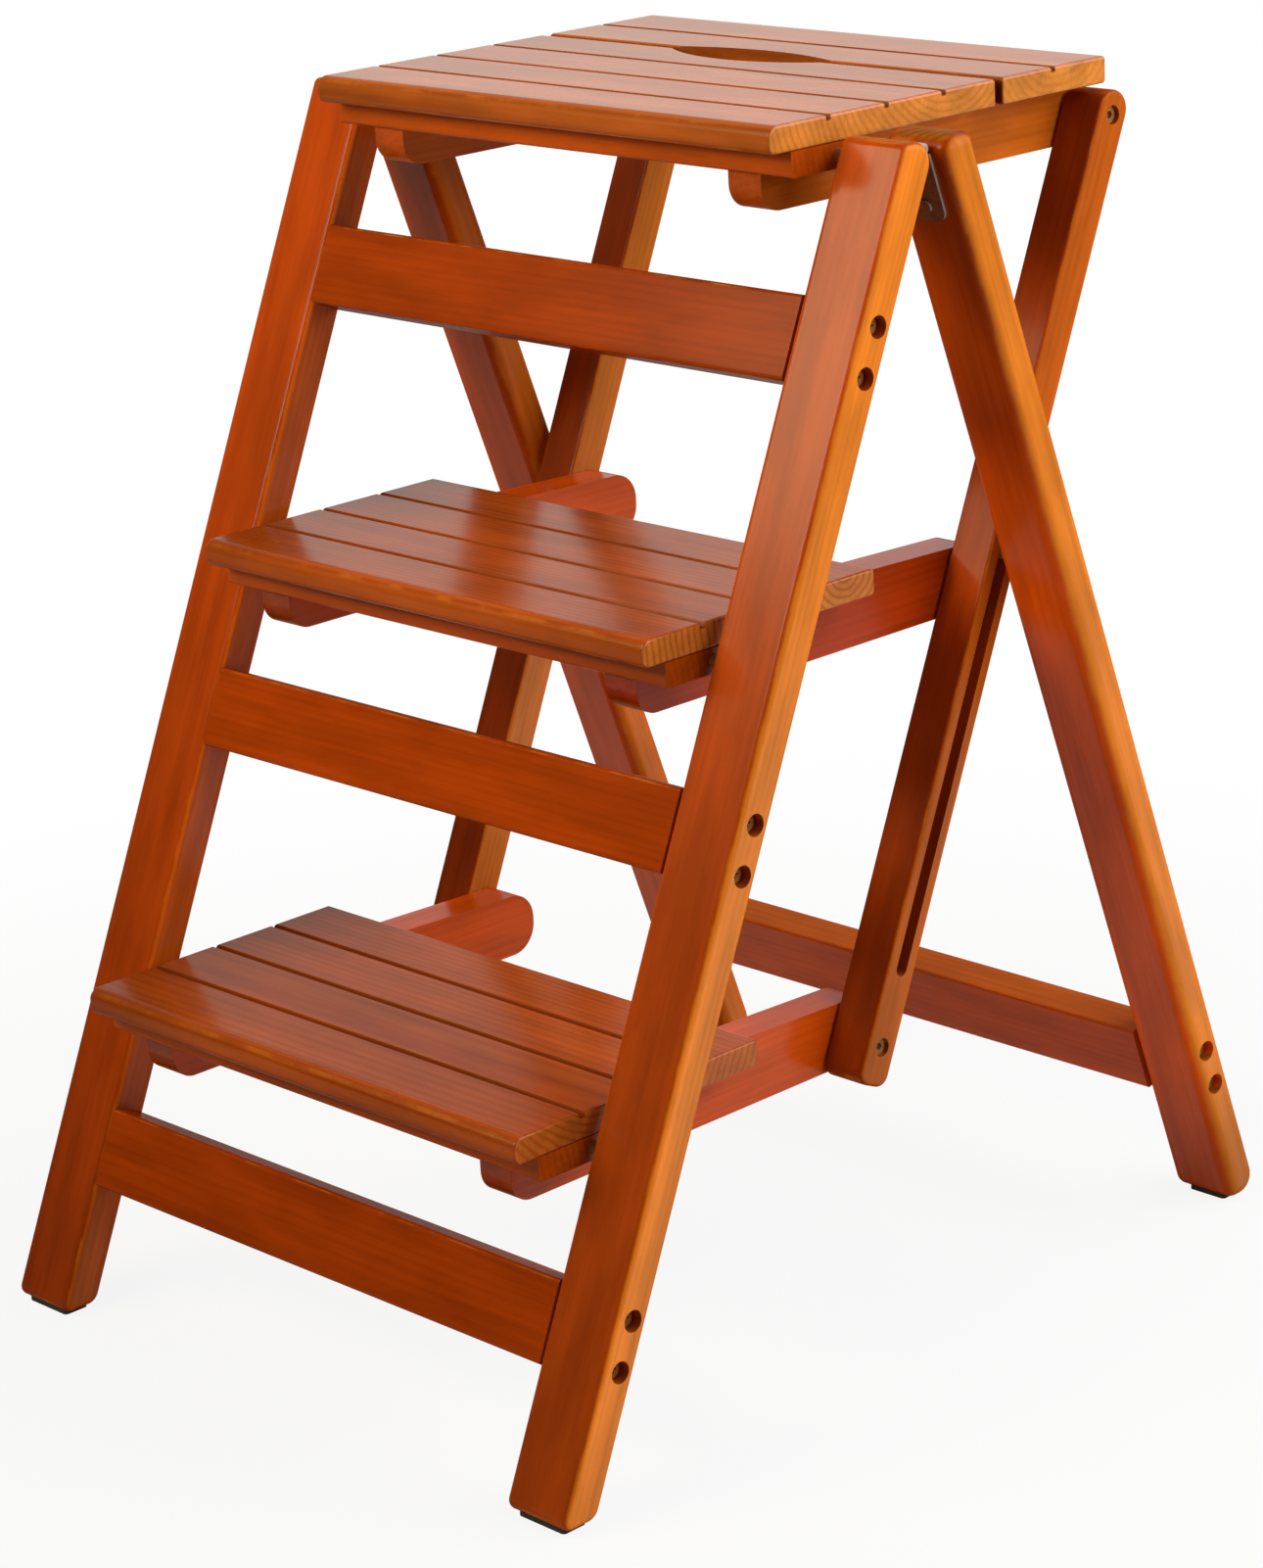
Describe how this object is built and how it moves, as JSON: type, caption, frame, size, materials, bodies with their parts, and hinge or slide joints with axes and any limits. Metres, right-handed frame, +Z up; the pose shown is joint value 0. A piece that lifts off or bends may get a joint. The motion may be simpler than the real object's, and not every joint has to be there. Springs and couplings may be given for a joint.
{
  "type": "folding step stool",
  "caption": "Folding wooden ladder stool with grooved treads, a slatted platform with a hand hole, link bars and hinged rear legs.",
  "frame": {"origin": "middle of the bounding box on the floor, between the stile feet and the leg feet", "axes": "+Z up, +X to the user's right when facing the treads, +Y from the treads back to the rear legs"},
  "size_m": [0.432, 0.5354, 0.64],
  "materials": {
    "varnished_wood": "gloss varnish",
    "screw_steel": "yellow zinc",
    "hinge_steel": "bronzed",
    "rubber_pad": "matte"
  },
  "bodies": {
    "front_frame": {"left_front_stile": "varnished_wood", "right_front_stile": "varnished_wood", "lower_front_rail": "varnished_wood", "middle_front_rail": "varnished_wood", "upper_front_rail": "varnished_wood", "front_rail_screws": "screw_steel", "front_foot_pads": "rubber_pad", "hinge_stile_leaves": "hinge_steel", "hinge_stile_screws": "hinge_steel", "hinge_pins": "hinge_steel", "tread_pivot_pins": "screw_steel"},
    "rear_legs": {"left_rear_leg": "varnished_wood", "right_rear_leg": "varnished_wood", "rear_rail": "varnished_wood", "rear_rail_screws": "screw_steel", "rear_foot_pads": "rubber_pad", "hinge_leg_leaves": "hinge_steel", "hinge_leg_screws": "hinge_steel"},
    "platform": {"platform_front_board": "varnished_wood", "platform_rear_board": "varnished_wood", "platform_strip": "varnished_wood", "platform_left_side_rail": "varnished_wood", "platform_right_side_rail": "varnished_wood", "platform_board_screws": "screw_steel", "platform_link_screws": "screw_steel"},
    "middle_tread": {"middle_tread_board": "varnished_wood", "middle_tread_strip": "varnished_wood", "middle_tread_left_side_rail": "varnished_wood", "middle_tread_right_side_rail": "varnished_wood", "middle_tread_board_screws": "screw_steel", "middle_tread_link_pins": "screw_steel"},
    "lower_tread": {"lower_tread_board": "varnished_wood", "lower_tread_strip": "varnished_wood", "lower_tread_left_side_rail": "varnished_wood", "lower_tread_right_side_rail": "varnished_wood", "lower_tread_board_screws": "screw_steel", "lower_tread_link_screws": "screw_steel"},
    "link_bars": {"left_link_bar": "varnished_wood", "right_link_bar": "varnished_wood"},
    "guide_pins": {"guide_pins": "screw_steel"}
  },
  "joints": [
    {"name": "platform_fold", "type": "hinge", "parent": "front_frame", "child": "platform", "pos_m": [0, 0.00868, 0.6195], "axis": [1, 0, 0], "range_deg": [0, 56]},
    {"name": "middle_tread_fold", "type": "hinge", "parent": "front_frame", "child": "middle_tread", "pos_m": [0, -0.09149, 0.38801], "axis": [1, 0, 0], "range_deg": [0, 56]},
    {"name": "lower_tread_fold", "type": "hinge", "parent": "front_frame", "child": "lower_tread", "pos_m": [0, -0.18843, 0.16401], "axis": [1, 0, 0], "range_deg": [0, 56]},
    {"name": "link_swing", "type": "hinge", "parent": "platform", "child": "link_bars", "pos_m": [0, 0.21317, 0.6095], "axis": [1, 0, 0], "range_deg": [-56, 0]},
    {"name": "rear_leg_swing", "type": "hinge", "parent": "front_frame", "child": "rear_legs", "pos_m": [0, 0.02574, 0.62316], "axis": [-1, 0, 0], "range_deg": [0, 38.45]},
    {"name": "guide_slide", "type": "slide", "parent": "link_bars", "child": "guide_pins", "axis": [0, -0.3971, -0.9178], "range_m": [0, 0.20067]}
  ],
  "couplings": [
    {"joint": "middle_tread_fold", "follows": "platform_fold", "ratio": 1},
    {"joint": "lower_tread_fold", "follows": "platform_fold", "ratio": 1},
    {"joint": "link_swing", "follows": "platform_fold", "ratio": -1},
    {"joint": "rear_leg_swing", "follows": "platform_fold", "ratio": 0.6864},
    {"joint": "guide_slide", "follows": "platform_fold", "m_per_rad": 0.20521}
  ]
}
